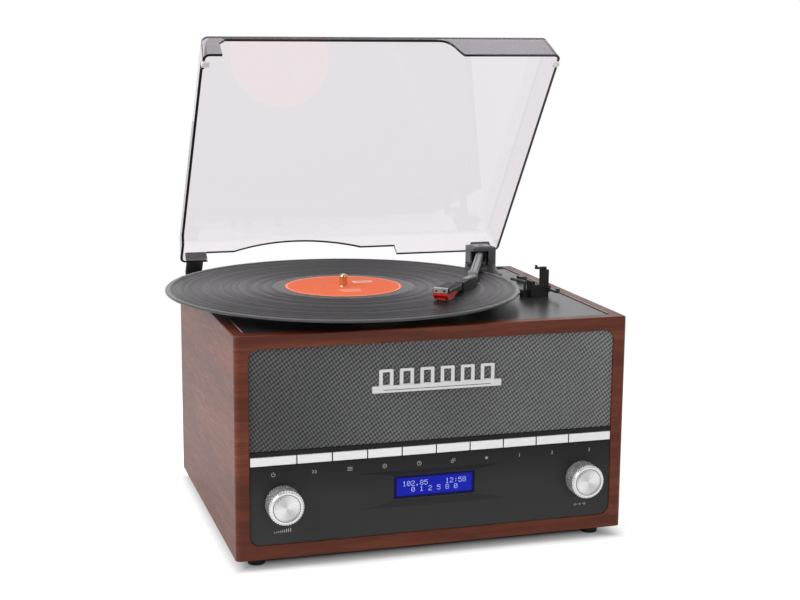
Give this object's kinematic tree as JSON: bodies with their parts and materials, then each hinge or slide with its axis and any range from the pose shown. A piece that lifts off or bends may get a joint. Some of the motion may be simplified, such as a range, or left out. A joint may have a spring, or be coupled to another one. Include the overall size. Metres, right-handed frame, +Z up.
{
  "type": "record player",
  "caption": "Table-top record player in a wooden cabinet with a radio: belt-driven platter, pivoted tonearm, hinged clear lid, speaker cloth, display, knobs and a row of keys.",
  "frame": {"origin": "middle of the bottom board's underside", "axes": "+X to the user's right, +Y to the back, +Z up, parallel to the spindle"},
  "size_m": [0.3555, 0.3343, 0.4078],
  "materials": {
    "cabinet_wrap": "satin walnut film",
    "bottom_board": "plain board",
    "back_board": "black painted board",
    "deck_cleats": "plain wood",
    "deck_plate": "satin black moulding",
    "baffle_board": "plain board",
    "grille_cloth": "woven grey cloth",
    "control_panel": "fine matt black moulding",
    "display_window": "blue lit window",
    "display_module": "moulded frame",
    "emblem_bar": "bright metal",
    "feet": "matt black rubber",
    "speaker_drivers": "black steel",
    "speaker_cones": "pressed paper",
    "main_board": "green circuit board",
    "key_board": "green circuit board",
    "volume_control": "plated case",
    "tuning_encoder": "plated case",
    "platter_motor": "plated steel can",
    "spindle_bearing": "turned brass",
    "drive_belt": "matt rubber",
    "tonearm_base": "gloss black moulding",
    "tonearm_housing": "gloss black moulding",
    "arm_rest": "gloss black moulding",
    "hinge_brackets": "black painted steel",
    "hinge_pins": "plain steel",
    "socket_plate": "black moulding",
    "rear_sockets": "black moulding with metal shells",
    "platter": "satin black moulding",
    "slip_mat": "black felt",
    "record": "pressed vinyl",
    "record_label": "orange printed paper",
    "spindle": "turned and plated",
    "motor_pulley": "turned brass",
    "tonearm_yoke": "plain metal",
    "tonearm_tube": "grey metal",
    "headshell": "black moulding",
    "cartridge": "black moulding",
    "stylus": "red moulding",
    "arm_lock": "black painted strip",
    "cue_lever": "black moulding",
    "lifter_bar": "black rod",
    "speed_switch": "black moulding",
    "hinge_leaves": "black painted steel",
    "lid_bumpers": "pale soft pad",
    "volume_knob": "spun face, fluted skirt",
    "tuning_knob": "spun face, fluted skirt",
    "volume_shaft": "plain steel",
    "tuning_plunger": "plain steel",
    "key": "brushed metal",
    "lid": "smoke-tinted clear"
  },
  "bodies": {
    "cabinet": {"cabinet_wrap": "cabinet_wrap", "bottom_board": "bottom_board", "back_board": "back_board", "deck_cleats": "deck_cleats", "deck_plate": "deck_plate", "baffle_board": "baffle_board", "grille_cloth": "grille_cloth", "control_panel": "control_panel", "display_window": "display_window", "display_module": "display_module", "emblem_bar": "emblem_bar", "feet": "feet", "speaker_drivers": "speaker_drivers", "speaker_cones": "speaker_cones", "main_board": "main_board", "key_board": "key_board", "volume_control": "volume_control", "tuning_encoder": "tuning_encoder", "platter_motor": "platter_motor", "spindle_bearing": "spindle_bearing", "drive_belt": "drive_belt", "tonearm_base": "tonearm_base", "tonearm_housing": "tonearm_housing", "arm_rest": "arm_rest", "hinge_brackets": "hinge_brackets", "hinge_pins": "hinge_pins", "socket_plate": "socket_plate", "rear_sockets": "rear_sockets"},
    "platter": {"platter": "platter", "slip_mat": "slip_mat", "record": "record", "record_label": "record_label", "spindle": "spindle"},
    "motor_pulley": {"motor_pulley": "motor_pulley"},
    "tonearm_swing": {"tonearm_yoke": "tonearm_yoke"},
    "tonearm_lift": {"tonearm_tube": "tonearm_tube", "headshell": "headshell", "cartridge": "cartridge", "stylus": "stylus"},
    "arm_lock": {"arm_lock": "arm_lock"},
    "cue_lever": {"cue_lever": "cue_lever"},
    "lifter_bar": {"lifter_bar": "lifter_bar"},
    "speed_switch": {"speed_switch": "speed_switch"},
    "lid": {"lid": "lid", "hinge_leaves": "hinge_leaves", "lid_bumpers": "lid_bumpers"},
    "volume_knob": {"volume_knob": "volume_knob", "volume_shaft": "volume_shaft"},
    "tuning_plunger": {"tuning_plunger": "tuning_plunger"},
    "tuning_knob": {"tuning_knob": "tuning_knob"},
    "key_power": {"key_power": "key"},
    "key_scan": {"key_scan": "key"},
    "key_menu": {"key_menu": "key"},
    "key_info": {"key_info": "key"},
    "key_alarm": {"key_alarm": "key"},
    "key_mode": {"key_mode": "key"},
    "key_preset": {"key_preset": "key"},
    "key_one": {"key_one": "key"},
    "key_two": {"key_two": "key"},
    "key_three": {"key_three": "key"}
  },
  "joints": [
    {"name": "lid_hinge", "type": "hinge", "parent": "cabinet", "child": "lid", "pos_m": [0, 0.15, 0.15], "axis": [1, 0, 0], "range_deg": [-16, 53]},
    {"name": "platter_spin", "type": "hinge", "parent": "cabinet", "child": "platter", "pos_m": [-0.043, -0.003, 0.18], "axis": [0, 0, 1], "continuous": true},
    {"name": "pulley_spin", "type": "hinge", "parent": "cabinet", "child": "motor_pulley", "pos_m": [0.03494, -0.03934, 0.175], "axis": [0, 0, 1], "continuous": true},
    {"name": "tonearm_swing", "type": "hinge", "parent": "cabinet", "child": "tonearm_swing", "pos_m": [0.117, 0.096, 0.19], "axis": [0, 0, -1], "range_deg": [-26.9, 12]},
    {"name": "tonearm_lift", "type": "hinge", "parent": "tonearm_swing", "child": "tonearm_lift", "pos_m": [0.117, 0.096, 0.198], "axis": [-0.9191, 0.3939, 0], "range_deg": [0, 1.45]},
    {"name": "cue_lever_turn", "type": "hinge", "parent": "cabinet", "child": "cue_lever", "pos_m": [0.13402, -0.02616, 0.184], "axis": [-0.9979, -0.0645, 0], "range_deg": [0, 40]},
    {"name": "lifter_rise", "type": "slide", "parent": "cabinet", "child": "lifter_bar", "axis": [0, 0, 1], "range_m": [0, 0.0027]},
    {"name": "arm_lock_turn", "type": "hinge", "parent": "cabinet", "child": "arm_lock", "pos_m": [0.13152, -0.02632, 0.2], "axis": [0, 0, 1], "range_deg": [0, 100]},
    {"name": "speed_switch_slide", "type": "slide", "parent": "cabinet", "child": "speed_switch", "axis": [0, 1, 0], "range_m": [-0.007, 0.007]},
    {"name": "volume_turn", "type": "hinge", "parent": "cabinet", "child": "volume_knob", "pos_m": [-0.1253, -0.13, 0.045], "axis": [0, 1, 0], "range_deg": [-150, 150]},
    {"name": "tuning_push", "type": "slide", "parent": "cabinet", "child": "tuning_plunger", "axis": [0, 1, 0], "range_m": [0, 0.0006], "stiffness_N_per_m": 800},
    {"name": "tuning_turn", "type": "hinge", "parent": "tuning_plunger", "child": "tuning_knob", "pos_m": [0.1253, -0.138, 0.045], "axis": [0, 1, 0], "continuous": true},
    {"name": "key_power_press", "type": "slide", "parent": "cabinet", "child": "key_power", "axis": [0, 1, 0], "range_m": [0, 0.0008], "stiffness_N_per_m": 500},
    {"name": "key_scan_press", "type": "slide", "parent": "cabinet", "child": "key_scan", "axis": [0, 1, 0], "range_m": [0, 0.0008], "stiffness_N_per_m": 500},
    {"name": "key_menu_press", "type": "slide", "parent": "cabinet", "child": "key_menu", "axis": [0, 1, 0], "range_m": [0, 0.0008], "stiffness_N_per_m": 500},
    {"name": "key_info_press", "type": "slide", "parent": "cabinet", "child": "key_info", "axis": [0, 1, 0], "range_m": [0, 0.0008], "stiffness_N_per_m": 500},
    {"name": "key_alarm_press", "type": "slide", "parent": "cabinet", "child": "key_alarm", "axis": [0, 1, 0], "range_m": [0, 0.0008], "stiffness_N_per_m": 500},
    {"name": "key_mode_press", "type": "slide", "parent": "cabinet", "child": "key_mode", "axis": [0, 1, 0], "range_m": [0, 0.0008], "stiffness_N_per_m": 500},
    {"name": "key_preset_press", "type": "slide", "parent": "cabinet", "child": "key_preset", "axis": [0, 1, 0], "range_m": [0, 0.0008], "stiffness_N_per_m": 500},
    {"name": "key_one_press", "type": "slide", "parent": "cabinet", "child": "key_one", "axis": [0, 1, 0], "range_m": [0, 0.0008], "stiffness_N_per_m": 500},
    {"name": "key_two_press", "type": "slide", "parent": "cabinet", "child": "key_two", "axis": [0, 1, 0], "range_m": [0, 0.0008], "stiffness_N_per_m": 500},
    {"name": "key_three_press", "type": "slide", "parent": "cabinet", "child": "key_three", "axis": [0, 1, 0], "range_m": [0, 0.0008], "stiffness_N_per_m": 500}
  ],
  "couplings": [
    {"joint": "pulley_spin", "follows": "platter_spin", "ratio": 13.091},
    {"joint": "tonearm_lift", "follows": "cue_lever_turn", "ratio": 0.0325},
    {"joint": "lifter_rise", "follows": "cue_lever_turn", "m_per_rad": 0.003294}
  ]
}
